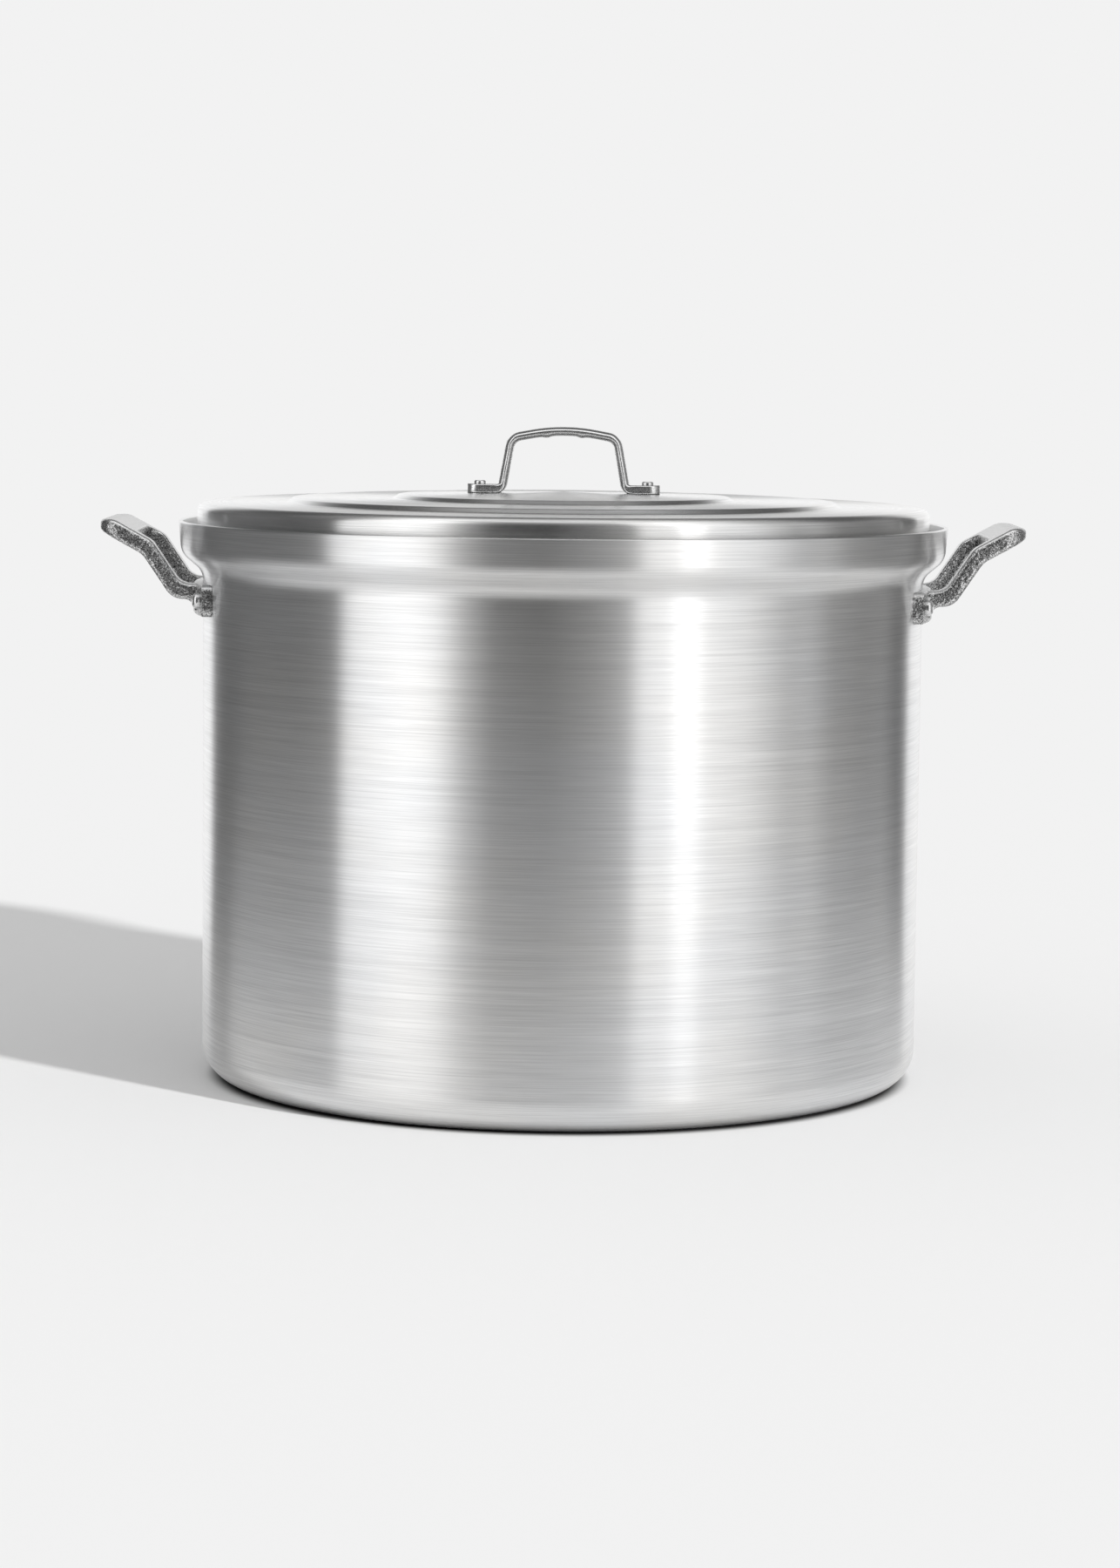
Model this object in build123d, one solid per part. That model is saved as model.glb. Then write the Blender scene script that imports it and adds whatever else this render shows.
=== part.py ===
from build123d import *

import os
from math import asin, atan, cos, degrees, radians, sin, sqrt, tan

# Stock pot with a drop-in lid, in millimetres.
# The origin is the centre of the flat base, +Z is up, and the side handles lie along +X and -X.
# Front is -Y.

# Pot body: one drawn and spun aluminium shell
pot_radius = 265.0
rim_height = 410.0
wall_thickness = 3.2
floor_thickness = 4.0
base_corner_radius = 24.0
lip_edge_radius = 1.2

# Collar: the wider top of the shell, above an S-shaped shoulder
collar_step = 16.0
collar_flare = 2.0
shoulder_below_rim = 30.5
shoulder_slope = 40.0
shoulder_bend_radius = 15.0

# Lid: a pressed disc with a deep skirt that drops into the collar and rests on the shoulder
lid_thickness = 2.5
lid_side_gap = 10.4
lid_seat_gap = 0.3
lid_skirt_height = 42.5
lid_corner_radius = 6.5
lid_edge_radius = 0.8
lid_ring_radius = 202.0
lid_ring_rise = 3.5
lid_cone_radius = 124.0
lid_cone_step = 3.0
lid_cone_rise = 2.8
lid_step_run = 5.0
lid_step_bend_radius = 4.0

# Side handles: two aluminium castings, each with a foot strip that is riveted to the wall
foot_thickness = 7.0
foot_height = 23.0
foot_below_rim = 45.0
foot_end_reach = 81.0
foot_corner_radius = 6.0
foot_edge_radius = 2.2
handle_reach = 72.0
handle_half_length = 58.0
handle_plan_radius = 18.0
leg_width = 15.0
leg_thickness = 11.4
leg_slope = 56.0
leg_rise = 32.2
knee_reach = 18.5
grip_slope = 28.5
grip_thickness = 12.2
grip_width = 26.0
grip_above_rim = 1.0
root_fillet_radius = 8.0
knee_bend_radius = 14.0
shoulder_of_leg_radius = 18.0
grip_edge_radius = 3.6
window_corner_radius = 8.0
casting_edge_radius = 2.0
leg_pocket_depth = 4.0
leg_pocket_margin = 3.2
finger_ridge_radius = 5.0
finger_ridge_height = 2.0
finger_ridge_spacing = 30.0
finger_ridge_length = 13.0

# Lid handle: a narrow aluminium casting, riveted to the middle of the lid
lid_handle_width = 16.0
lid_foot_end = 71.0
lid_foot_thickness = 6.4
lid_leg_base = 48.5
lid_leg_lean = 10.3
lid_handle_height = 48.5
lid_crown_rise = 5.0
lid_crown_roundness = 0.7
lid_bar_thickness = 6.0
lid_handle_corner_radius = 12.0
lid_root_fillet_radius = 3.0
lid_handle_edge_radius = 1.2
lid_finger_ridge_radius = 2.4
lid_finger_ridge_height = 0.9
lid_finger_ridge_spacing = 26.0

# Rivets
rivet_hole_gap = 0.1
wall_rivet_radius = 3.25
wall_rivet_head_radius = 5.7
wall_rivet_head_height = 5.0
wall_rivet_head_corner = 3.4
wall_rivet_tail_height = 2.0
wall_rivet_reach = 70.4
lid_rivet_radius = 2.4
lid_rivet_head_radius = 4.3
lid_rivet_head_height = 2.4
lid_rivet_head_corner = 1.1
lid_rivet_tail_height = 1.4
lid_rivet_reach = 61.8
rivet_tail_corner = 0.8

# Sizes worked out from the ones above
collar_radius = pot_radius + collar_step
rim_radius = collar_radius + collar_flare
shoulder_middle_height = rim_height - shoulder_below_rim
shoulder_half_rise = collar_step / 2 * tan(radians(shoulder_slope))
lid_radius = rim_radius - wall_thickness - lid_side_gap

foot_top = rim_height - foot_below_rim
foot_bottom = foot_top - foot_height
foot_radius = pot_radius + foot_thickness
grip_top = rim_height + grip_above_rim
grip_outer = pot_radius + handle_reach
grip_inner = grip_outer - grip_width
leg_inner = handle_half_length - leg_width
leg_middle = handle_half_length - leg_width / 2
wall_rivet_height = (foot_top + foot_bottom) / 2
wall_rivet_angle = degrees(asin(wall_rivet_reach / foot_radius))


def direction(angle):
    """Unit vector at an angle in degrees from the first axis of a sketch."""
    return Vector(cos(radians(angle)), sin(radians(angle)))


def left_of(vector):
    """The vector turned a quarter turn to its left."""
    return Vector(-vector.Y, vector.X)


def crossing(point_a, direction_a, point_b, direction_b):
    """Point where two straight lines of one sketch cross."""
    spread = direction_a.X * direction_b.Y - direction_a.Y * direction_b.X
    gap = point_b - point_a
    along = (gap.X * direction_b.Y - gap.Y * direction_b.X) / spread
    return point_a + direction_a * along


def outline(corners, plane=Plane.XZ):
    """Face inside straight sides that are joined by tangent arcs.

    Each corner is (across, up, radius), in order round the face, and radius 0 is a sharp corner.
    """
    edges = []
    entries = []
    exits = []
    for index, (across, up, radius) in enumerate(corners):
        here = Vector(across, up)
        before = Vector(*corners[index - 1][:2])
        after = Vector(*corners[(index + 1) % len(corners)][:2])
        way_in = (here - before).normalized()
        way_out = (after - here).normalized()
        half_turn = radians(way_in.get_angle(way_out)) / 2
        reach = radius * tan(half_turn)
        entries.append(here - way_in * reach)
        exits.append(here + way_out * reach)
        if radius > 0:
            inward = (way_out - way_in).normalized()
            middle = here + inward * (radius / cos(half_turn) - radius)
            edges.append(ThreePointArc(entries[-1], middle, exits[-1]))
    for index, start in enumerate(exits):
        end = entries[(index + 1) % len(entries)]
        if (end - start).length > 1e-6:
            edges.append(Line(start, end))
    return plane * make_face(edges)


def beside(corners, distances):
    """Corners of the line that runs beside an open path, each side at its own distance to the left.

    The first end keeps its distance from the axis and the last end keeps its height.
    """
    points = [Vector(across, up) for across, up, _ in corners]
    sides = [(end - start).normalized() for start, end in zip(points, points[1:])]
    moved = [start + left_of(side) * gap for start, side, gap in zip(points, sides, distances)]
    first = crossing(moved[0], sides[0], points[0], Vector(0, 1))
    last = crossing(moved[-1], sides[-1], points[-1], Vector(1, 0))
    line = [(first.X, first.Y, 0)]
    for index in range(1, len(sides)):
        corner = crossing(moved[index - 1], sides[index - 1], moved[index], sides[index])
        turn = sides[index - 1].X * sides[index].Y - sides[index - 1].Y * sides[index].X
        gap = (distances[index - 1] + distances[index]) / 2
        radius = corners[index][2] - gap if turn > 0 else corners[index][2] + gap
        line.append((corner.X, corner.Y, max(radius, 0)))
    line.append((last.X, last.Y, 0))
    return line


def sheet_profile(corners, distances, edge_radius):
    """Closed corners of a sheet that follows an open path, with a rounded free edge."""
    far_side = beside(corners, distances)
    near_end = (*corners[-1][:2], edge_radius)
    far_end = (*far_side[-1][:2], edge_radius)
    return [*corners[:-1], near_end, far_end, *reversed(far_side[:-1])]


def shell_path():
    """Outside of the pot body, from the middle of the base to the rim."""
    return [
        (0, 0, 0),
        (pot_radius, 0, base_corner_radius),
        (pot_radius, shoulder_middle_height - shoulder_half_rise, shoulder_bend_radius),
        (collar_radius, shoulder_middle_height + shoulder_half_rise, shoulder_bend_radius),
        (rim_radius, rim_height, 0),
    ]


def shell_distances():
    """Thickness of the pot body along each side of its path."""
    return [floor_thickness, wall_thickness, wall_thickness, wall_thickness]


def shoulder_height(radius):
    """Height of the inside of the shoulder's straight slope at a radius."""
    foot_of_slope = beside(shell_path(), shell_distances())[2]
    return foot_of_slope[1] + (radius - foot_of_slope[0]) * tan(radians(shoulder_slope))


lid_bottom = shoulder_height(lid_radius) + lid_seat_gap
lid_flat_height = lid_bottom + lid_skirt_height
lid_ring_height = lid_flat_height + lid_ring_rise
lid_cone_edge_height = lid_ring_height + lid_cone_step
lid_apex_height = lid_cone_edge_height + lid_cone_rise


def lid_path():
    """Top of the lid, from its apex out to the corner and down the skirt."""
    half_run = lid_step_run / 2
    return [
        (0, lid_apex_height, 0),
        (lid_cone_radius - half_run, lid_cone_edge_height, lid_step_bend_radius),
        (lid_cone_radius + half_run, lid_ring_height, lid_step_bend_radius),
        (lid_ring_radius - half_run, lid_ring_height, lid_step_bend_radius),
        (lid_ring_radius + half_run, lid_flat_height, lid_step_bend_radius),
        (lid_radius, lid_flat_height, lid_corner_radius),
        (lid_radius, lid_bottom, 0),
    ]


def lid_cone_height(radius):
    """Height of the cone in the middle of the lid's top at a radius."""
    return lid_apex_height - lid_cone_rise * radius / (lid_cone_radius - lid_step_run / 2)


def placed_on_wall(piece, side_angle):
    """A piece modelled along +Z, laid along a wall rivet's line, with its z = 0 on the pot's axis."""
    return Rot(Z=side_angle) * Pos(0, 0, wall_rivet_height) * Rot(Y=90) * piece


def wall_rivet_angles():
    """Place of each wall rivet round the pot, in degrees from +X, by the rivet's name."""
    return {
        "front_right_handle_rivet": -wall_rivet_angle,
        "rear_right_handle_rivet": wall_rivet_angle,
        "rear_left_handle_rivet": 180 - wall_rivet_angle,
        "front_left_handle_rivet": 180 + wall_rivet_angle,
    }


def wall_rivet_holes(angles):
    """Drills for wall rivets, from inside the pot to beyond the handle's foot."""
    drill = Cylinder(
        wall_rivet_radius + rivet_hole_gap,
        2 * foot_thickness + wall_thickness,
        align=(Align.CENTER, Align.CENTER, Align.CENTER),
    )
    drill = Pos(0, 0, pot_radius) * drill
    return [placed_on_wall(drill, angle) for angle in angles]


def lid_rivet_holes():
    """Drills for the two lid rivets, through the handle's feet and the lid."""
    length = lid_thickness + lid_foot_thickness + lid_cone_rise
    drill = Cylinder(lid_rivet_radius + rivet_hole_gap, 2 * length)
    height = lid_cone_height(lid_rivet_reach)
    return [Pos(side * lid_rivet_reach, 0, height) * drill for side in (-1, 1)]


def pot_body():
    """Shell with its floor, wall, shoulder and collar, drilled for the handles' rivets."""
    profile = sheet_profile(shell_path(), shell_distances(), lip_edge_radius)
    shell = revolve(outline(profile), Axis.Z)
    for hole in wall_rivet_holes(wall_rivet_angles().values()):
        shell -= hole
    return shell


def lid_shell():
    """Lid disc with its cone, rings and skirt, drilled for its handle's rivets."""
    distances = [-lid_thickness] * (len(lid_path()) - 1)
    profile = sheet_profile(lid_path(), distances, lid_edge_radius)
    shell = revolve(outline(profile), Axis.Z)
    for hole in lid_rivet_holes():
        shell -= hole
    return shell


def side_handle_lines():
    """Start points and directions of the leg's and grip's underside and top lines."""
    leg_way = direction(leg_slope)
    grip_way = direction(grip_slope)
    knee = Vector(pot_radius + knee_reach, foot_top - leg_thickness)
    leg_end = knee + leg_way * (leg_rise / leg_way.Y)
    leg_over = knee + left_of(leg_way) * leg_thickness
    grip_over = leg_end + left_of(grip_way) * grip_thickness
    return knee, leg_end, leg_over, grip_over, leg_way, grip_way


def side_handle_corners():
    """Side view of the +X handle's leg and grip, from its root in the foot strip."""
    knee, leg_end, leg_over, grip_over, leg_way, grip_way = side_handle_lines()
    level = Vector(1, 0)
    root = pot_radius - foot_thickness
    face = sqrt(foot_radius**2 - leg_middle**2)
    knee_run = knee.X - face - knee_bend_radius * tan(radians(leg_slope) / 2)
    root_radius = min(root_fillet_radius, knee_run)
    nose = crossing(leg_end, grip_way, Vector(grip_outer, 0), Vector(0, 1))
    crown = crossing(grip_over, grip_way, Vector(0, grip_top), level)
    bend = crossing(leg_over, leg_way, grip_over, grip_way)
    hollow = crossing(leg_over, leg_way, Vector(0, foot_top), level)
    return [
        (root, knee.Y - root_radius, 0),
        (face, knee.Y - root_radius, 0),
        (face, knee.Y, root_radius),
        (knee.X, knee.Y, knee_bend_radius),
        (leg_end.X, leg_end.Y, shoulder_of_leg_radius),
        (nose.X, nose.Y, 0),
        (grip_outer, grip_top, 0),
        (crown.X, crown.Y, knee_bend_radius),
        (bend.X, bend.Y, knee_bend_radius),
        (hollow.X, hollow.Y, knee_bend_radius),
        (root, foot_top, 0),
    ]


def foot_strip():
    """Foot strip of the +X handle: a band that lies on the wall, with rounded ends."""
    band = revolve(
        outline(
            [
                (pot_radius, foot_bottom, 0),
                (foot_radius, foot_bottom, foot_edge_radius),
                (foot_radius, foot_top, foot_edge_radius),
                (pot_radius, foot_top, 0),
            ]
        ),
        Axis.Z,
    )
    ends = outline(
        [
            (-foot_end_reach, foot_bottom, foot_corner_radius),
            (foot_end_reach, foot_bottom, foot_corner_radius),
            (foot_end_reach, foot_top, foot_corner_radius),
            (-foot_end_reach, foot_top, foot_corner_radius),
        ],
        Plane.YZ,
    )
    return band & extrude(ends, foot_radius + foot_thickness)


def grip_and_legs():
    """The +X handle's two legs and its grip, with the window between them cut out."""
    body = extrude(outline(side_handle_corners()), handle_half_length, both=True)
    root = pot_radius - 2 * foot_thickness
    plan = [
        (root, -handle_half_length, 0),
        (grip_outer, -handle_half_length, handle_plan_radius),
        (grip_outer, handle_half_length, handle_plan_radius),
        (root, handle_half_length, 0),
    ]
    window = [
        (root - foot_thickness, -leg_inner, 0),
        (grip_inner, -leg_inner, window_corner_radius),
        (grip_inner, leg_inner, window_corner_radius),
        (root - foot_thickness, leg_inner, 0),
    ]
    body &= extrude(outline(plan, Plane.XY), grip_top)
    body -= extrude(outline(window, Plane.XY), grip_top)
    free_edges = body.edges().filter_by(lambda edge: edge.center().X > foot_radius)
    outer_edges = [edge for edge in free_edges if not is_on_window(edge)]
    body = fillet(outer_edges, grip_edge_radius)
    window_edges = body.edges().filter_by(lambda edge: edge.center().X > foot_radius)
    window_edges = window_edges.filter_by(is_on_window)
    return fillet(window_edges, casting_edge_radius)


def is_on_window(edge):
    """Whether an edge of the +X handle runs round the window between its legs."""
    middle = edge.center()
    slack = casting_edge_radius / 10
    return abs(middle.Y) < leg_inner + slack and middle.X < grip_inner + slack


def leg_pockets():
    """Hollows cast into the legs' inner faces, set in from the leg's edges."""
    knee, leg_end, leg_over, grip_over, leg_way, grip_way = side_handle_lines()
    margin = leg_pocket_margin
    low_leg = knee + left_of(leg_way) * margin
    high_leg = leg_over - left_of(leg_way) * margin
    low_grip = leg_end + left_of(grip_way) * margin
    high_grip = grip_over - left_of(grip_way) * margin
    level = Vector(1, 0)
    low_knee = crossing(low_leg, leg_way, Vector(0, knee.Y + margin), level)
    high_knee = crossing(high_leg, leg_way, Vector(0, foot_top - margin), level)
    low_bend = crossing(low_leg, leg_way, low_grip, grip_way)
    high_bend = crossing(high_leg, leg_way, high_grip, grip_way)
    stop = Vector(grip_inner - casting_edge_radius / 2, 0)
    upright = Vector(0, 1)
    low_stop = crossing(low_grip, grip_way, stop, upright)
    high_stop = crossing(high_grip, grip_way, stop, upright)
    start = foot_radius
    bend_radius = knee_bend_radius / 2
    corners = [
        (start, knee.Y + margin, 1),
        (low_knee.X, low_knee.Y, bend_radius),
        (low_bend.X, low_bend.Y, bend_radius),
        (low_stop.X, low_stop.Y, 1),
        (high_stop.X, high_stop.Y, 1),
        (high_bend.X, high_bend.Y, bend_radius),
        (high_knee.X, high_knee.Y, bend_radius),
        (start, foot_top - margin, 1),
    ]
    between = leg_inner + leg_pocket_depth
    return extrude(outline(corners), between, both=True)


def finger_ridges():
    """Two low ribs under the grip that part the fingers, each running out round the nose."""
    _, leg_end, _, _, _, grip_way = side_handle_lines()
    sink = finger_ridge_radius - finger_ridge_height
    line = leg_end + left_of(grip_way) * sink
    start = crossing(line, grip_way, Vector(grip_outer - finger_ridge_length, 0), Vector(0, 1))
    end = crossing(line, grip_way, Vector(grip_outer - sink, 0), Vector(0, 1))
    run = (end - start).length
    rib = Cylinder(
        finger_ridge_radius, run, align=(Align.CENTER, Align.CENTER, Align.MIN)
    )
    rib += Sphere(finger_ridge_radius)
    rib += Pos(0, 0, run) * Sphere(finger_ridge_radius)
    rib = Rot(Y=90 - grip_slope) * rib
    places = [side * finger_ridge_spacing / 2 for side in (-1, 1)]
    return [Pos(start.X, place, start.Y) * rib for place in places]


def side_handle():
    """The whole casting for the +X side, seated on the wall and drilled for its rivets."""
    handle = grip_and_legs() + foot_strip()
    handle -= leg_pockets()
    for ridge in finger_ridges():
        handle += ridge
    handle -= Cylinder(
        pot_radius, rim_height, align=(Align.CENTER, Align.CENTER, Align.MIN)
    )
    for hole in wall_rivet_holes([-wall_rivet_angle, wall_rivet_angle]):
        handle -= hole
    return handle


def lid_handle():
    """Arched handle with a foot at each end, seated on the lid's cone and drilled for its rivets."""
    seat = lid_cone_height(lid_foot_end) - lid_cone_rise
    foot_level = lid_cone_height(lid_leg_base) + lid_foot_thickness
    top = lid_cone_height(0) + lid_handle_height
    lean = tan(radians(lid_leg_lean))
    crown_edge = top - lid_crown_rise
    shoulder = lid_leg_base - (crown_edge - foot_level) * lean
    bar = lid_bar_thickness
    inner_lean = bar / cos(radians(lid_leg_lean))
    inner_edge = crown_edge - bar
    inner_shoulder = shoulder - inner_lean + bar * lean
    flare = (foot_level - seat) * lean
    half_outside = [
        (lid_foot_end, seat, 0),
        (lid_foot_end, foot_level, lid_handle_edge_radius),
        (lid_leg_base, foot_level, lid_root_fillet_radius),
        (shoulder, crown_edge, lid_handle_corner_radius),
    ]
    half_inside = [
        (lid_leg_base - inner_lean + flare, seat, 0),
        (inner_shoulder, inner_edge, lid_handle_corner_radius - bar / 2),
    ]
    outer_crown = (0, top, crown_radius(shoulder, lid_crown_rise))
    inner_crown = (0, top - bar, crown_radius(inner_shoulder, lid_crown_rise))
    face = outline(mirrored_corners(half_outside, outer_crown))
    face -= outline(mirrored_corners(half_inside, inner_crown))
    ridge_height = top - bar - lid_finger_ridge_height + lid_finger_ridge_radius
    for side in (-1, 1):
        place = Pos(side * lid_finger_ridge_spacing / 2, ridge_height)
        face += Plane.XZ * place * Circle(lid_finger_ridge_radius)
    handle = extrude(face, lid_handle_width / 2, both=True)
    plan = SlotOverall(2 * lid_foot_end, lid_handle_width)
    handle &= extrude(plan, 2 * top)
    cone = [
        (0, 0, 0),
        (lid_foot_end + bar, 0, 0),
        (lid_foot_end + bar, lid_cone_height(lid_foot_end + bar), 0),
        (0, lid_apex_height, 0),
    ]
    handle -= revolve(outline(cone), Axis.Z)
    for hole in lid_rivet_holes():
        handle -= hole
    return handle


def mirrored_corners(half, middle):
    """Closed corners made of half a view, its top middle corner and the same half mirrored."""
    other_half = [(-across, up, radius) for across, up, radius in reversed(half)]
    return [*half, middle, *other_half]


def crown_radius(half_span, rise):
    """Radius of the arc over the middle of two slopes, which takes in most of their length."""
    slope = atan(rise / half_span)
    return lid_crown_roundness * half_span / sin(slope) / 2


def rivet(shank_radius, head_radius, head_height, head_corner, grip_length, tail_height):
    """Rivet along +Z: its tail below z = 0, its shank through the grip and its head above."""
    profile = [
        (0, -tail_height, 0),
        (head_radius, -tail_height, rivet_tail_corner),
        (head_radius, 0, 0),
        (shank_radius, 0, 0),
        (shank_radius, grip_length, 0),
        (head_radius, grip_length, 0),
        (head_radius, grip_length + head_height, head_corner),
        (0, grip_length + head_height, 0),
    ]
    return revolve(outline(profile), Axis.Z)


def wall_rivet(angle):
    """Rivet that holds a side handle's foot to the pot's wall at an angle round the pot."""
    inner_radius = pot_radius - wall_thickness
    tail_seat = sqrt(inner_radius**2 - wall_rivet_head_radius**2)
    piece = rivet(
        wall_rivet_radius,
        wall_rivet_head_radius,
        wall_rivet_head_height,
        wall_rivet_head_corner,
        foot_radius - tail_seat,
        wall_rivet_tail_height,
    )
    return placed_on_wall(Pos(0, 0, tail_seat) * piece, angle)


def lid_rivet(side):
    """Rivet that holds one foot of the lid's handle, on the side of -X (-1) or +X (1)."""
    foot_level = lid_cone_height(lid_leg_base) + lid_foot_thickness
    slope = atan(lid_cone_rise / (lid_cone_radius - lid_step_run / 2))
    outer_edge = lid_rivet_reach + lid_rivet_head_radius
    tail_seat = lid_cone_height(outer_edge) - lid_thickness / cos(slope)
    piece = rivet(
        lid_rivet_radius,
        lid_rivet_head_radius,
        lid_rivet_head_height,
        lid_rivet_head_corner,
        foot_level - tail_seat,
        lid_rivet_tail_height,
    )
    return Pos(side * lid_rivet_reach, 0, tail_seat) * piece


right_handle = side_handle()
pieces = {
    "pot_body": pot_body(),
    "right_side_handle": right_handle,
    "left_side_handle": mirror(right_handle, Plane.YZ),
    "lid_shell": lid_shell(),
    "lid_handle": lid_handle(),
    "left_lid_handle_rivet": lid_rivet(-1),
    "right_lid_handle_rivet": lid_rivet(1),
}
for name, angle in wall_rivet_angles().items():
    pieces[name] = wall_rivet(angle)

os.makedirs("parts", exist_ok=True)
for name, piece in pieces.items():
    export_step(piece, f"parts/{name}.step")
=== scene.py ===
"""Looks of a large aluminium stock pot with a lid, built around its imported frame.

The pot body and the lid are spun sheet, so each is a surface of revolution worked out on a grid. The lid's
handle is a bar of rounded section swept along its middle line. The side handles and the rivets keep the shape
of their frame nodes under detailed finishes.
"""
import logging
from dataclasses import dataclass, replace
from enum import Enum
from math import atan2, cos, pi, radians, sin, tan

import bpy
import numpy as np
from mathutils import Matrix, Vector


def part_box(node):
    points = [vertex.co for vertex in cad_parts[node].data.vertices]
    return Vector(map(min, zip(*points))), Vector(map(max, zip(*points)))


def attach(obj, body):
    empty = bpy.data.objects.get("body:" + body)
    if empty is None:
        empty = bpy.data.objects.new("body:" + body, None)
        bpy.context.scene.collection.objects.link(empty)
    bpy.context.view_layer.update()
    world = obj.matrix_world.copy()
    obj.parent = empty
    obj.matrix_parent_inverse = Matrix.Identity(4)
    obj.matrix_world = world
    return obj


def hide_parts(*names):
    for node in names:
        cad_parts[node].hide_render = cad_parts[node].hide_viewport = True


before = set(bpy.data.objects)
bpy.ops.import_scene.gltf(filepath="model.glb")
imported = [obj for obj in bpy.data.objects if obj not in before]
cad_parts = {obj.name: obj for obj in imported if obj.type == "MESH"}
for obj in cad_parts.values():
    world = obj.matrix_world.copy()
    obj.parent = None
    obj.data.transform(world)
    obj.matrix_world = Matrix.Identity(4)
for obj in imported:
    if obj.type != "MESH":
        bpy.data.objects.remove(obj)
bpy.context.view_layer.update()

logging.basicConfig(level=logging.INFO, format="%(levelname)s %(name)s: %(message)s")
LOG = logging.getLogger("stock_pot")

MM = 0.001
PAPER_WHITE = 0.8879
"""Linear brightness of the pale sweep that fills the picture behind the pot."""
RIPPLE_FULL_RADIUS = 200 * MM
"""Radius from which the spinning ripple has its full height."""


class Slot(Enum):
    """The material slots of the record."""

    BODY = "spun_aluminium"
    LID = "lid_aluminium"
    CAST = "cast_aluminium"
    RIVET = "rivet_aluminium"


class Rider(Enum):
    """The moving bodies of the pot."""

    POT = "pot"
    LID = "lid"


# ---------------------------------------------------------------- surfaces


@dataclass(frozen=True)
class Corner:
    """One corner of an outline: its distance from the axis, its height and its rounding, in metres."""

    radius: float
    height: float
    bend: float = 0.0


@dataclass(frozen=True)
class Outline:
    """A line of rounded corners and straight runs, such as the half section of a turned sheet."""

    corners: tuple[Corner, ...]
    bend_steps: int = 10
    edge_margin: float = 0.6 * MM
    longest_step: float = 20 * MM

    def bend_points(self, before: Corner, at: Corner, after: Corner) -> np.ndarray:
        """Gives the points of one rounded corner.

        The arc touches both runs at bend * tan(half the turn) from the corner, and its points are the centre
        plus the bend radius turned evenly from the first contact to the second.

        Args:
            before: The corner ahead of this one.
            at: The corner to round.
            after: The corner behind it.

        Returns:
            Radius and height of each point, one row each.
        """
        here = np.array([at.radius, at.height])
        if at.bend == 0.0:
            return here[None, :]
        run_in = here - np.array([before.radius, before.height])
        run_out = np.array([after.radius, after.height]) - here
        run_in = run_in / np.linalg.norm(run_in)
        run_out = run_out / np.linalg.norm(run_out)
        turn = atan2(run_in[0] * run_out[1] - run_in[1] * run_out[0], float(run_in @ run_out))
        reach = at.bend * tan(abs(turn) / 2)
        side = 1.0 if turn > 0 else -1.0
        normal = side * np.array([-run_in[1], run_in[0]])
        centre = here - run_in * reach + normal * at.bend
        angles = np.linspace(0.0, turn, self.bend_steps + 1)
        out, up = -normal * at.bend
        turned_out = out * np.cos(angles) - up * np.sin(angles)
        turned_up = out * np.sin(angles) + up * np.cos(angles)
        return centre + np.stack([turned_out, turned_up], axis=1)

    def run_points(self, start: np.ndarray, end: np.ndarray) -> np.ndarray:
        """Gives the points inside a straight run: evenly spread, with one close to each end.

        The close ones keep the shading of the run flat.

        Args:
            start: The first end of the run.
            end: The other end.

        Returns:
            Points strictly inside the run, one row each.
        """
        length = float(np.linalg.norm(end - start))
        shortest = 4 * self.edge_margin
        if length < shortest:
            return np.empty((0, 2))
        margin = self.edge_margin / length
        inner = max(2, int(length / self.longest_step) + 1)
        shares = np.linspace(margin, 1 - margin, inner)
        return start + shares[:, None] * (end - start)

    def points(self) -> np.ndarray:
        """Gives the whole outline, its corners rounded and its runs divided.

        Returns:
            Radius and height of each point, one row each.
        """
        pieces = [np.array([[self.corners[0].radius, self.corners[0].height]])]
        for before, at, after in zip(self.corners, self.corners[1:], self.corners[2:]):
            bend = self.bend_points(before, at, after)
            pieces.append(self.run_points(pieces[-1][-1], bend[0]))
            pieces.append(bend)
        last = np.array([[self.corners[-1].radius, self.corners[-1].height]])
        pieces.append(self.run_points(pieces[-1][-1], last[0]))
        pieces.append(last)
        return np.concatenate(pieces)


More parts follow.
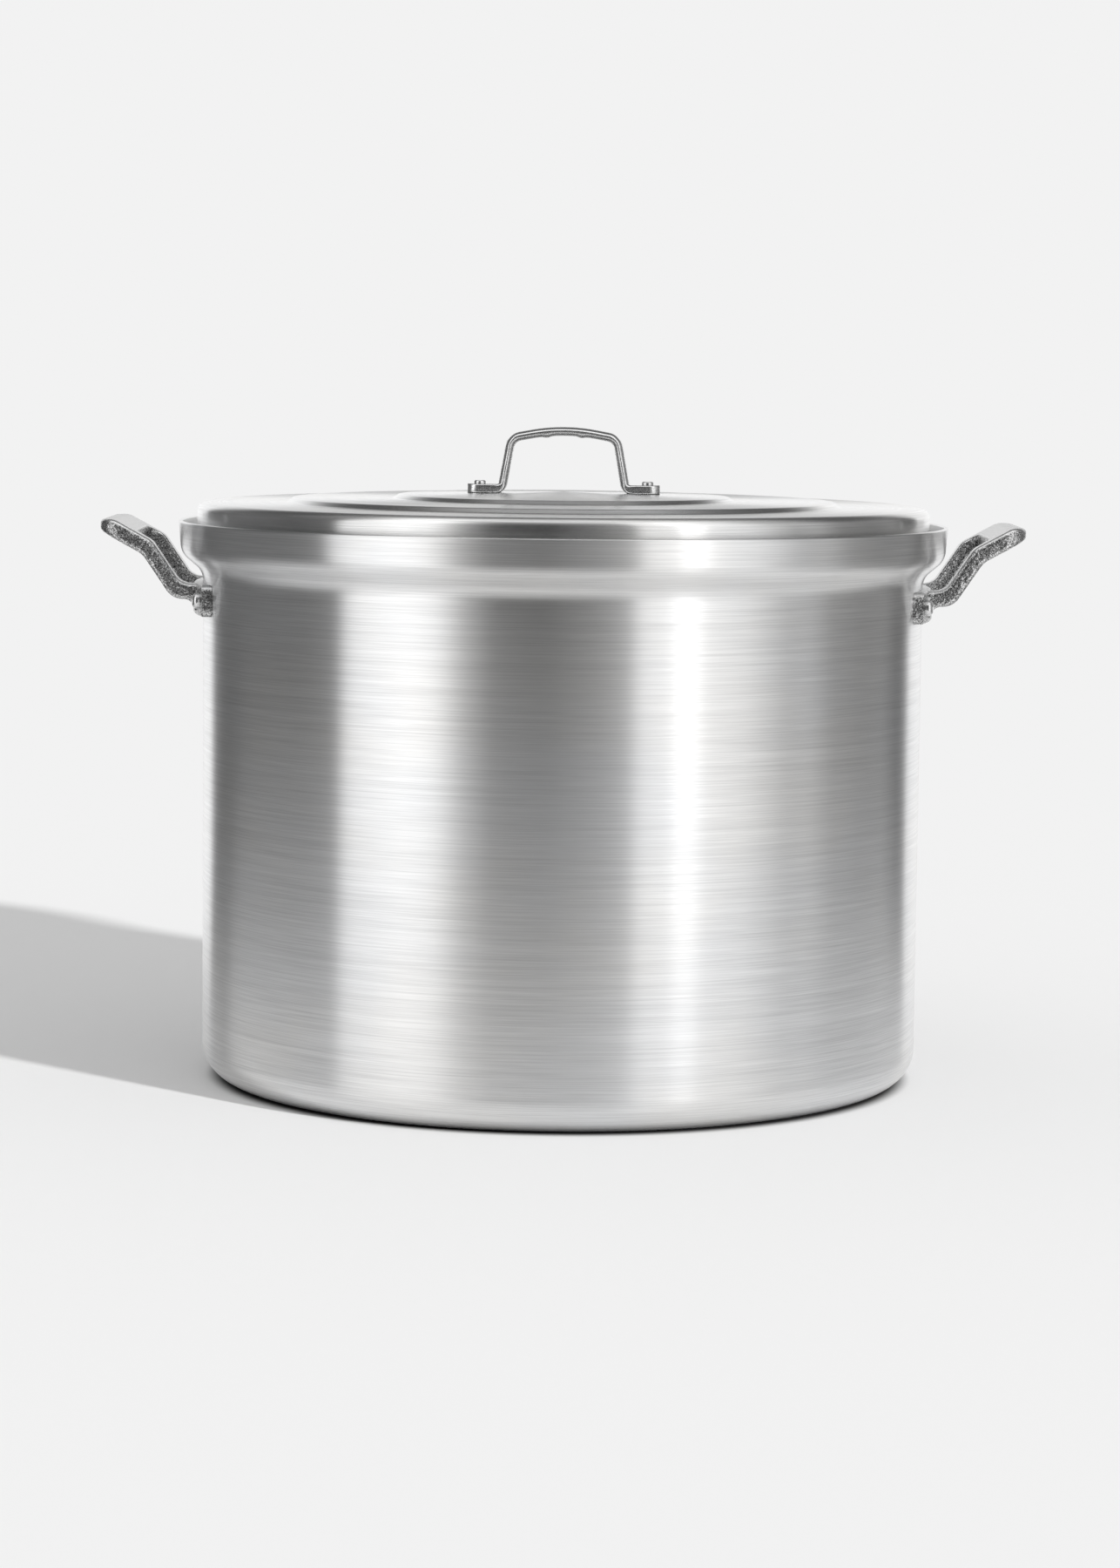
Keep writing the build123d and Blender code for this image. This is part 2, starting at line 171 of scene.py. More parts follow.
@dataclass(frozen=True)
class Grid:
    """A surface given on a grid of two parameters."""

    name: str
    points: np.ndarray
    """Rows by columns by three, in metres. Columns run round the surface and close on themselves."""
    along: np.ndarray
    """Distance along the outline of each row, in metres."""

    def faces(self) -> np.ndarray:
        """Joins each row to the next with a ring of four-sided faces that wraps round.

        Returns:
            The four point numbers of each face, one row each.
        """
        rows, columns = self.points.shape[:2]
        row = np.arange(rows - 1)[:, None] * columns
        column = np.arange(columns)[None, :]
        beside = (column + 1) % columns
        above = row + columns
        quads = np.stack([row + column, row + beside, above + beside, above + column], axis=-1)
        return quads.reshape(-1, 4)

    def build(self) -> bpy.types.Object:
        """Makes the closed mesh object: the grid's rings, with a fan to a pole at each end.

        Returns:
            The object, at the origin, linked to the scene.
        """
        rows, columns = self.points.shape[:2]
        rings = self.points[1:-1].reshape(-1, 3)
        count = rows - 2
        poles = np.stack([self.points[0, 0], self.points[-1, 0]])
        inner = Grid(self.name, self.points[1:-1], self.along[1:-1])
        quads = inner.faces()
        column = np.arange(columns)
        beside = (column + 1) % columns
        first = np.stack([np.full(columns, count * columns), beside, column], axis=-1)
        top = (count - 1) * columns
        second = np.stack([np.full(columns, count * columns + 1), top + column, top + beside], axis=-1)
        mesh = bpy.data.meshes.new(self.name)
        vertices = np.concatenate([rings, poles])
        mesh.from_pydata(vertices.tolist(), [], quads.tolist() + first.tolist() + second.tolist())
        mesh.polygons.foreach_set("use_smooth", np.ones(len(mesh.polygons), bool))
        along = np.concatenate([np.repeat(self.along[1:-1], columns), self.along[[0, -1]]])
        attribute = mesh.attributes.new("lathe_path", "FLOAT", "POINT")
        attribute.data.foreach_set("value", along.astype(np.float32))
        mesh.update()
        thing = bpy.data.objects.new(self.name, mesh)
        bpy.context.scene.collection.objects.link(thing)
        return thing


def turned_surface(name: str, outline: Outline, segments: int, ripple: float) -> Grid:
    """Turns an outline about the vertical axis.

    The point at angle a is (r cos a, r sin a, z). The radius r has a very small slow ripple, the trace of the
    spinning tool, which bends the reflections as real sheet does: ripple * sin(3 a + 40 z) * sin(5 a - 25 z),
    fading to nothing towards the axis.

    Args:
        name: The name of the piece.
        outline: The outline to turn.
        segments: Columns round the axis.
        ripple: The height of the ripple in metres.

    Returns:
        The grid of the surface.
    """
    path = outline.points()
    radius = path[:, 0][:, None]
    height = path[:, 1][:, None]
    angle = np.linspace(0.0, 2 * pi, segments, endpoint=False)[None, :]
    wave = ripple * np.sin(3 * angle + 40 * height) * np.sin(5 * angle - 25 * height)
    radius = radius + wave * np.minimum(1.0, radius / RIPPLE_FULL_RADIUS)
    points = np.stack([radius * np.cos(angle), radius * np.sin(angle), height + 0 * angle], axis=-1)
    points[0, :, :2] = 0.0
    points[-1, :, :2] = 0.0
    steps = np.linalg.norm(np.diff(path, axis=0), axis=1)
    along = np.concatenate([[0.0], np.cumsum(steps)])
    return Grid(name, points, along)


# ---------------------------------------------------------------- node tools


class Nodes:
    """Short ways to add and join nodes in one tree."""

    def __init__(self, tree: bpy.types.NodeTree) -> None:
        """Holds the tree that the nodes go in."""
        self.tree = tree

    def add(self, kind: str, **settings: object) -> bpy.types.Node:
        """Adds a node and sets its properties.

        Args:
            kind: The node's type, without the ShaderNode in front.
            settings: Properties of the node by name.

        Returns:
            The node.
        """
        node = self.tree.nodes.new("ShaderNode" + kind)
        for key, value in settings.items():
            setattr(node, key, value)
        return node

    def feed(self, value: object, socket: bpy.types.NodeSocket) -> None:
        """Joins an output to a socket, or sets the socket to a plain value.

        Args:
            value: The output or the plain value.
            socket: The input that takes it.
        """
        if isinstance(value, bpy.types.NodeSocket):
            self.tree.links.new(value, socket)
        else:
            socket.default_value = value

    def math(self, operation: str, *values: object) -> bpy.types.NodeSocket:
        """Adds a Math node.

        Args:
            operation: The operation's name.
            values: Outputs or numbers for its inputs, in order.

        Returns:
            The node's output.
        """
        node = self.add("Math", operation=operation)
        for value, socket in zip(values, node.inputs):
            self.feed(value, socket)
        return node.outputs[0]

    def blend(self, share: object, first: object, second: object) -> bpy.types.NodeSocket:
        """Mixes two numbers.

        Args:
            share: How much of the second is taken.
            first: The number at share 0.
            second: The number at share 1.

        Returns:
            The mixed number.
        """
        node = self.add("Mix", data_type="FLOAT")
        for value, socket in zip((share, first, second), (node.inputs[0], node.inputs[2], node.inputs[3])):
            self.feed(value, socket)
        return node.outputs[0]

    def tint(self, share: object, first: object, second: object) -> bpy.types.NodeSocket:
        """Mixes two colours.

        Args:
            share: How much of the second is taken.
            first: The colour at share 0.
            second: The colour at share 1.

        Returns:
            The mixed colour.
        """
        node = self.add("Mix", data_type="RGBA")
        for value, socket in zip((share, first, second), (node.inputs[0], node.inputs[6], node.inputs[7])):
            self.feed(value, socket)
        return node.outputs[2]

    def span(
        self, value: object, low: object, high: object, to_low: float = 0.0, to_high: float = 1.0
    ) -> bpy.types.NodeSocket:
        """Maps a number from one range smoothly onto another.

        Args:
            value: The number.
            low: Where the range starts.
            high: Where it ends.
            to_low: The result at its start.
            to_high: The result at its end.

        Returns:
            The mapped number.
        """
        node = self.add("MapRange", interpolation_type="SMOOTHSTEP")
        for number, socket in zip((value, low, high, to_low, to_high), node.inputs):
            self.feed(number, socket)
        return node.outputs[0]

    def noise(
        self, vector: object, scale: float, detail: float = 2.0, roughness: float = 0.5
    ) -> bpy.types.NodeSocket:
        """Adds a Noise texture.

        Args:
            vector: Where the noise is read.
            scale: How many grains one unit holds.
            detail: How many finer layers are added.
            roughness: How strong the finer layers are.

        Returns:
            The noise's value.
        """
        node = self.add("TexNoise")
        self.feed(vector, node.inputs["Vector"])
        node.inputs["Scale"].default_value = scale
        node.inputs["Detail"].default_value = detail
        node.inputs["Roughness"].default_value = roughness
        return node.outputs["Fac"]

    def vector(self, x: object, y: object, z: object) -> bpy.types.NodeSocket:
        """Combines three numbers.

        Args:
            x: The first number.
            y: The second number.
            z: The third number.

        Returns:
            The vector.
        """
        node = self.add("CombineXYZ")
        for value, socket in zip((x, y, z), node.inputs):
            self.feed(value, socket)
        return node.outputs[0]


class GroupBuilder:
    """Makes a shader node group with named inputs and outputs."""

    def __init__(self, name: str, inputs: dict[str, float], outputs: tuple[str, ...]) -> None:
        """Opens the group.

        Args:
            name: The group's name.
            inputs: Default value of each number input.
            outputs: Names of the number outputs.
        """
        self.tree = bpy.data.node_groups.new(name, "ShaderNodeTree")
        for label, value in inputs.items():
            socket = self.tree.interface.new_socket(label, in_out="INPUT", socket_type="NodeSocketFloat")
            socket.default_value = value
        for label in outputs:
            self.tree.interface.new_socket(label, in_out="OUTPUT", socket_type="NodeSocketFloat")
        self.entry = self.tree.nodes.new("NodeGroupInput")
        self.exit = self.tree.nodes.new("NodeGroupOutput")
        self.nodes = Nodes(self.tree)


def lathe_group() -> bpy.types.NodeTree:
    """Builds the group for the lines that a turning tool and a polishing cloth leave round a spun sheet.

    Noise is read at (k x / r, k y / r, s / pitch), where s is the distance along the outline, so a line is
    long round the axis and thin across it. The larger k is, the shorter the line.

    Returns:
        The group: Lines is the fine scratch pattern, Bands the wider tool marks, Cloud the slow unevenness.
    """
    pitches = {"Fine Pitch": 0.5 * MM, "Band Pitch": 4 * MM}
    short_line, long_line, band = 5.0, 2.0, 0.6
    long_pitch_ratio, long_share = 2.0, 0.45
    cloud_scale = 7.0
    group = GroupBuilder("lathe_lines", pitches, ("Lines", "Bands", "Cloud"))
    nodes = group.nodes
    place = nodes.add("TexCoord").outputs["Object"]
    parts = nodes.add("SeparateXYZ")
    nodes.feed(place, parts.inputs[0])
    flat = nodes.vector(parts.outputs[0], parts.outputs[1], 0.0)
    heading = nodes.add("VectorMath", operation="NORMALIZE")
    nodes.feed(flat, heading.inputs[0])
    spoke = nodes.add("SeparateXYZ")
    nodes.feed(heading.outputs[0], spoke.inputs[0])
    path = nodes.add("Attribute", attribute_name="lathe_path").outputs["Fac"]

    def streak(turns: float, pitch: object, detail: float) -> bpy.types.NodeSocket:
        """Reads noise that is stretched round the axis.

        Args:
            turns: How fast the noise changes round the axis.
            pitch: The distance over which it changes across the lines.
            detail: How many finer layers are added.

        Returns:
            The noise's value.
        """
        across = nodes.math("DIVIDE", path, pitch)
        round_x = nodes.math("MULTIPLY", spoke.outputs[0], turns)
        round_y = nodes.math("MULTIPLY", spoke.outputs[1], turns)
        return nodes.noise(nodes.vector(round_x, round_y, across), 1.0, detail, roughness=0.6)

    fine_pitch = group.entry.outputs["Fine Pitch"]
    fine = streak(short_line, fine_pitch, detail=3.0)
    long_lines = streak(long_line, nodes.math("MULTIPLY", fine_pitch, long_pitch_ratio), detail=2.0)
    bands = streak(band, group.entry.outputs["Band Pitch"], detail=3.0)
    nodes.feed(nodes.blend(long_share, fine, long_lines), group.exit.inputs["Lines"])
    nodes.feed(bands, group.exit.inputs["Bands"])
    nodes.feed(nodes.noise(place, cloud_scale, detail=3.0, roughness=0.55), group.exit.inputs["Cloud"])
    return group.tree


def casting_group() -> bpy.types.NodeTree:
    """Builds the group for the skin of a sand-cast piece: pits and grains where it is left raw, and a mask of
    the upper faces, which are linished smooth.

    Returns:
        The group: Grain is the height of the skin, Speckle its bright and dark flecks (the dark ones partly
            painted
        shade and dark reflection in the pits), and Smooth the mask of the linished faces.
    """
    coarse_scale, coarse_share = 0.28, 0.8
    fleck_from, fleck_to = 0.35, 0.68
    linished_from, linished_to = 0.35, 0.8
    group = GroupBuilder("casting_skin", {"Grain Size": 1.1 * MM}, ("Grain", "Speckle", "Smooth"))
    nodes = group.nodes
    place = nodes.add("TexCoord").outputs["Object"]
    scaled = nodes.add("VectorMath", operation="SCALE")
    nodes.feed(place, scaled.inputs[0])
    nodes.feed(nodes.math("DIVIDE", 1.0, group.entry.outputs["Grain Size"]), scaled.inputs["Scale"])
    grain = nodes.noise(scaled.outputs[0], 1.0, detail=4.0, roughness=0.65)
    coarse = nodes.noise(scaled.outputs[0], coarse_scale)
    normal = nodes.add("SeparateXYZ")
    nodes.feed(nodes.add("NewGeometry").outputs["Normal"], normal.inputs[0])
    nodes.feed(nodes.blend(coarse_share, grain, coarse), group.exit.inputs["Grain"])
    # Speckle: the skin's flecks, the dark ones partly painted shade in the pits.
    nodes.feed(nodes.span(grain, fleck_from, fleck_to), group.exit.inputs["Speckle"])
    nodes.feed(nodes.span(normal.outputs[2], linished_from, linished_to), group.exit.inputs["Smooth"])
    return group.tree


# ---------------------------------------------------------------- finishes


@dataclass(frozen=True)
class SpunFinish:
    """Spun sheet with lines round the axis: sharp reflections round the pot, spread out across the lines."""

    slot: Slot
    lathe: bpy.types.NodeTree
    fine_pitch: float = 0.5 * MM
    band_pitch: float = 4 * MM
    warm_tone: tuple[float, float, float] = (0.94, 0.935, 0.925)
    cool_tone: tuple[float, float, float] = (0.93, 0.935, 0.942)
    cloud_range: tuple[float, float] = (0.35, 0.65)
    line_range: tuple[float, float] = (0.3, 0.7)
    line_tone: float = 0.76
    band_share: float = 0.22
    roughness: float = 0.31
    roughness_play: float = 0.015
    cloud_roughness: float = 0.05
    bump: float = 0.04
    bump_depth: float = 0.1 * MM
    anisotropy: float = 1.0
    across_lines: float = 0.25

    def material(self) -> bpy.types.Material:
        """Builds the material.

        Returns:
            The material, named for its slot.
        """
        material = bpy.data.materials.new(self.slot.value)
        material.use_nodes = True
        nodes = Nodes(material.node_tree)
        shader = material.node_tree.nodes["Principled BSDF"]
        lathe = nodes.add("Group")
        lathe.node_tree = self.lathe
        lathe.inputs["Fine Pitch"].default_value = self.fine_pitch
        lathe.inputs["Band Pitch"].default_value = self.band_pitch
        lines = nodes.span(lathe.outputs["Lines"], *self.line_range)
        bands = nodes.span(lathe.outputs["Bands"], *self.line_range)
        shade = nodes.blend(self.band_share, lines, bands)
        cloud = lathe.outputs["Cloud"]
        sheet = nodes.tint(nodes.span(cloud, *self.cloud_range), (*self.warm_tone, 1), (*self.cool_tone, 1))
        scored = nodes.add("Mix", data_type="RGBA", blend_type="MULTIPLY")
        scored.inputs[0].default_value = 1.0
        nodes.feed(sheet, scored.inputs[6])
        nodes.feed(nodes.blend(shade, self.line_tone, 1.0), scored.inputs[7])
        nodes.feed(scored.outputs[2], shader.inputs["Base Color"])
        rough = nodes.blend(lines, self.roughness + self.roughness_play, self.roughness - self.roughness_play)
        drift = nodes.math("MULTIPLY", nodes.math("SUBTRACT", cloud, 0.5), self.cloud_roughness)
        nodes.feed(nodes.math("ADD", rough, drift), shader.inputs["Roughness"])
        shader.inputs["Metallic"].default_value = 1.0
        shader.inputs["Anisotropic"].default_value = self.anisotropy
        shader.inputs["Anisotropic Rotation"].default_value = self.across_lines
        tangent = nodes.add("Tangent", direction_type="RADIAL", axis="Z")
        nodes.feed(tangent.outputs[0], shader.inputs["Tangent"])
        bump = nodes.add("Bump")
        bump.inputs["Strength"].default_value = self.bump
        bump.inputs["Distance"].default_value = self.bump_depth
        nodes.feed(lines, bump.inputs["Height"])
        nodes.feed(bump.outputs[0], shader.inputs["Normal"])
        return material


@dataclass(frozen=True)
class CastFinish:
    """A casting: smooth, matt upper faces and a raw, speckled skin elsewhere, its dark flecks partly painted
    shade and dark reflection.
    """

    slot: Slot
    casting: bpy.types.NodeTree
    grain_size: float = 1.1 * MM
    tone: float = 0.90
    # Near-black of the raw skin's dark flecks: grain, and also painted shade and dark reflection in the pits.
    fleck_and_shade_tone: float = 0.10
    smooth_roughness: float = 0.36
    raw_roughness: float = 0.18
    fleck_roughness: float = 0.1
    smooth_grain: float = 0.12
    bump: float = 1.0
    bump_depth: float = 1.3 * MM

    def material(self) -> bpy.types.Material:
        """Builds the material.

        Returns:
            The material, named for its slot.
        """
        material = bpy.data.materials.new(self.slot.value)
        material.use_nodes = True
        nodes = Nodes(material.node_tree)
        shader = material.node_tree.nodes["Principled BSDF"]
        skin = nodes.add("Group")
        skin.node_tree = self.casting
        skin.inputs["Grain Size"].default_value = self.grain_size
        smooth = skin.outputs["Smooth"]
        # Painted shade: the raw skin's dark flecks are grain that also stands for shade and dark reflection
        # in the pits; the upper faces keep none of it.
        raw = nodes.tint(
            skin.outputs["Speckle"],
            (self.fleck_and_shade_tone, self.fleck_and_shade_tone, self.fleck_and_shade_tone, 1),
            (self.tone, self.tone, self.tone, 1),
        )
        nodes.feed(nodes.tint(smooth, raw, (self.tone, self.tone, self.tone, 1)), shader.inputs["Base Color"])
        duller = self.raw_roughness + self.fleck_roughness
        brighter = self.raw_roughness - self.fleck_roughness
        rough = nodes.blend(skin.outputs["Speckle"], duller, brighter)
        nodes.feed(nodes.blend(smooth, rough, self.smooth_roughness), shader.inputs["Roughness"])
        shader.inputs["Metallic"].default_value = 1.0
        height = nodes.math("MULTIPLY", skin.outputs["Grain"], nodes.blend(smooth, 1.0, self.smooth_grain))
        bump = nodes.add("Bump")
        bump.inputs["Strength"].default_value = self.bump
        bump.inputs["Distance"].default_value = self.bump_depth
        nodes.feed(height, bump.inputs["Height"])
        nodes.feed(bump.outputs[0], shader.inputs["Normal"])
        return material


# ---------------------------------------------------------------- sub-assemblies


@dataclass
class PotBody:
    """The spun vessel: a straight wall on a rounded base, a shoulder and a wider collar with a rolled lip."""

    node: str = "pot_body"
    wall: float = 3.2 * MM
    floor: float = 4 * MM
    base_corner: float = 24 * MM
    collar_step: float = 16 * MM
    collar_flare: float = 2 * MM
    shoulder_drop: float = 30.5 * MM
    shoulder_slope: float = radians(40)
    shoulder_bend: float = 15 * MM
    lip: float = 1.2 * MM
    segments: int = 384
    ripple: float = 0.03 * MM

    def outline(self) -> Outline:
        """Gives the outline: base, wall, shoulder, collar and lip, then the same path one wall further in.

        Returns:
            The outline, from the axis under the base to the axis on the floor.
        """
        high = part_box(self.node)[1]
        rim, top = high.x, high.z
        collar = rim - self.collar_flare
        radius = collar - self.collar_step
        middle = top - self.shoulder_drop
        half_rise = self.collar_step / 2 * tan(self.shoulder_slope)
        lean = atan2(self.collar_flare, top - middle)
        inset = self.wall * tan((pi / 2 - self.shoulder_slope) / 2)
        in_wall, in_collar = radius - self.wall, collar - self.wall * cos(lean)
        return Outline(
            (
                Corner(0.0, 0.0),
                Corner(radius, 0.0, self.base_corner),
                Corner(radius, middle - half_rise, self.shoulder_bend),
                Corner(collar, middle + half_rise, self.shoulder_bend),
                Corner(rim, top, self.lip),
                Corner(rim - self.wall, top, self.lip),
                Corner(in_collar, middle + half_rise + inset, self.shoulder_bend - self.wall),
                Corner(in_wall, middle - half_rise + inset, self.shoulder_bend - self.wall),
                Corner(in_wall, self.floor, self.base_corner - self.wall),
                Corner(0.0, self.floor),
            )
        )

    def build(self, finish: bpy.types.Material) -> None:
        """Makes the body's mesh and dresses it.

        Args:
            finish: The material of spun sheet.
        """
        shell = turned_surface("pot_body_shell", self.outline(), self.segments, self.ripple).build()
        shell.data.materials.append(finish)
        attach(shell, Rider.POT.value)
        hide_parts(self.node)
        LOG.info("%s: %d faces", shell.name, len(shell.data.polygons))


@dataclass
class Lid:
    """The spun lid: a skirt inside the collar and a top that rises in two rings to a flat cone."""

    node: str = "lid_shell"
    sheet: float = 2.5 * MM
    skirt_height: float = 42.5 * MM
    corner: float = 6.5 * MM
    edge: float = 0.8 * MM
    ring_radius: float = 202 * MM
    ring_rise: float = 3.5 * MM
    cone_radius: float = 124 * MM
    cone_step: float = 3.0 * MM
    step_run: float = 5 * MM
    step_bend: float = 4 * MM
    segments: int = 384
    ripple: float = 0.02 * MM

    def outline(self) -> Outline:
        """Gives the outline: the underside out and down inside the skirt, then back over the top.

        Returns:
            The outline, from the axis under the cone to the cone's point.
        """
        low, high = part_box(self.node)
        rim, bottom, apex = high.x, low.z, high.z
        flat = bottom + self.skirt_height
        ring = flat + self.ring_rise
        cone = ring + self.cone_step
        half = self.step_run / 2
        steps = (
            (self.cone_radius - half, cone),
            (self.cone_radius + half, ring),
            (self.ring_radius - half, ring),
            (self.ring_radius + half, flat),
        )
        inside = rim - self.sheet
        inner = [(radius, height - self.sheet, self.step_bend) for radius, height in steps]
        inner += [(inside, flat - self.sheet, self.corner - self.sheet), (inside, bottom, self.edge)]
        outer = [(rim, bottom, self.edge), (rim, flat, self.corner)]
        outer += [(radius, height, self.step_bend) for radius, height in reversed(steps)]
        path = [Corner(0.0, apex - self.sheet)]
        path += [Corner(*place) for place in inner]
        path += [Corner(*place) for place in outer]
        path.append(Corner(0.0, apex))
        return Outline(tuple(path))

    def build(self, finish: bpy.types.Material) -> None:
        """Makes the lid's mesh and dresses it.

        Args:
            finish: The material of spun sheet.
        """
        shell = turned_surface("lid_sheet", self.outline(), self.segments, self.ripple).build()
        shell.data.materials.append(finish)
        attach(shell, Rider.LID.value)
        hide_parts(self.node)
        LOG.info("%s: %d faces", shell.name, len(shell.data.polygons))


@dataclass
class LidGrip:
    """The lid's cast handle: a bar of rounded section that arches between two flat feet."""

    node: str = "lid_handle"
    bar: float = 6.8 * MM
    foot_top: float = 6.9 * MM
    leg_base: float = 48.5 * MM
    leg_lean: float = radians(10.3)
    crown_rise: float = 5.0 * MM
    crown_share: float = 0.6
    corner: float = 9.0 * MM
    root: float = 4.5 * MM
    foot_run: float = 18.0 * MM
    foot_fade: float = 10.0 * MM
    foot_squareness: float = 6.0
    bar_squareness: float = 2.0
    ridge_place: float = 13.0 * MM
    ridge_reach: float = 3.0 * MM
    ridge_rise: float = 0.9 * MM
    cap_rows: int = 17
    rows: int = 260
    columns: int = 48

    def middle_line(self) -> np.ndarray:
        """Gives the middle line of the bar in the upright plane through its feet.

        Returns:
            Across and height of each point from the left foot to the right, one row each.
        """
        low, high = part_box(self.node)
        foot = low.z + self.foot_top / 2
        lean = tan(self.leg_lean)
        inset = self.bar / 2 / cos(self.leg_lean)
        root = self.leg_base + self.foot_top / 2 * lean - inset
        edge = high.z - self.crown_rise - self.bar / 2
        shoulder = root - (edge - foot) * lean
        slope = atan2(self.crown_rise / (1 - self.crown_share / 2), shoulder)
        crown = self.crown_share * shoulder / cos(slope) / tan(slope)
        peak = high.z - self.bar / 2 + crown * (1 / cos(slope) - 1)
        half = [(high.x, foot, 0.0), (root, foot, self.root), (shoulder, edge, self.corner)]
        left = [Corner(-across, up, bend) for across, up, bend in half]
        right = [Corner(across, up, bend) for across, up, bend in reversed(half)]
        return Outline((*left, Corner(0.0, peak, crown), *right)).points()

    def surface(self) -> Grid:
        """Sweeps the bar's section along its middle line.

        The section at any place on the middle line is the superellipse with half width b and half thickness
        a: across = b sign(cos t) |cos t|^(2/n), out = a sign(sin t) |sin t|^(2/n). It is squarer at the feet,
        its width closes at the ends as half a circle does, and two low ridges under the crown are for the
        fingers.

        Returns:
            The grid of the surface, its rows from the left foot to the right.
        """
        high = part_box(self.node)[1]
        line = self.middle_line()
        steps = np.linalg.norm(np.diff(line, axis=0), axis=1)
        reach = np.concatenate([[0.0], np.cumsum(steps)])
        total, half_width = reach[-1], high.y
        cap = half_width * (1 - np.cos(np.linspace(0.0, pi / 2, self.cap_rows)))
        inner = np.linspace(half_width, total - half_width, self.rows)[1:-1]
        stations = np.concatenate([cap, inner, total - cap[::-1]])
        place = np.stack([np.interp(stations, reach, line[:, axis]) for axis in (0, 1)], axis=1)
        along = np.gradient(place, stations, axis=0)
        along = along / np.linalg.norm(along, axis=1)[:, None]
        end = np.minimum(stations, total - stations)
        foot = 1 - np.clip((end - self.foot_run) / self.foot_fade, 0.0, 1.0)
        power = 2 / (self.bar_squareness + (self.foot_squareness - self.bar_squareness) * foot)
        thick = (self.bar + (self.foot_top - self.bar) * foot) / 2
        short = np.clip(half_width - end, 0.0, half_width)
        wide = np.sqrt(half_width**2 - short**2)
        turn = np.linspace(0.0, 2 * pi, self.columns, endpoint=False)[None, :]
        across = wide[:, None] * np.sign(np.cos(turn)) * np.abs(np.cos(turn)) ** power[:, None]
        out = thick[:, None] * np.sign(np.sin(turn)) * np.abs(np.sin(turn)) ** power[:, None]
        from_ridge = (np.abs(place[:, 0]) - self.ridge_place) / self.ridge_reach
        ridge = self.ridge_rise * np.exp(-(from_ridge**2))
        crown = place[:, 1] > high.z - self.crown_rise - self.bar
        out = out - (ridge * crown)[:, None] * np.clip(-np.sin(turn), 0.0, 1.0)
        points = np.stack(
            [
                place[:, 0][:, None] - along[:, 1][:, None] * out,
                across,
                place[:, 1][:, None] + along[:, 0][:, None] * out,
            ],
            axis=-1,
        )
        points[[0, -1], :, 0] = place[[0, -1], 0][:, None]
        points[[0, -1], :, 2] = place[[0, -1], 1][:, None]
        return Grid("lid_grip", points, stations)

    def build(self, finish: bpy.types.Material) -> None:
        """Makes the handle's mesh and dresses it.

        Args:
            finish: The material of the casting.
        """
        grip = self.surface().build()
        grip.data.materials.append(finish)
        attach(grip, Rider.LID.value)
        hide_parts(self.node)
        LOG.info("%s: %d faces", grip.name, len(grip.data.polygons))


@dataclass
class Fittings:
    """The cast side handles and the rivets, which keep their frame nodes."""

    castings: tuple[str, ...] = ("left_side_handle", "right_side_handle")

    def dress(self, cast: bpy.types.Material, rivet: bpy.types.Material) -> None:
        """Gives each frame node its finish.

        Args:
            cast: The material of the castings.
            rivet: The material of the rivets.
        """
        for name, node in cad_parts.items():
            if name in self.castings:
                self.wear(node, cast)
            elif name.endswith("_rivet"):
                self.wear(node, rivet)

    def wear(self, node: bpy.types.Object, finish: bpy.types.Material) -> None:
        """Puts one finish on every face of a node.

        Args:
            node: The node's object.
            finish: The material it takes.
        """
        for slot in node.material_slots:
            slot.material = finish
        LOG.info("%s wears %s", node.name, finish.name)


# ---------------------------------------------------------------- studio


@dataclass(frozen=True)
class Band:
    """One upright strip of the studio as the metal sees it.

    It starts at an angle in degrees round from the front, right positive, and has its level of brightness
    there. Brightness runs evenly to the next strip's start.
    """

    start: float
    level: float


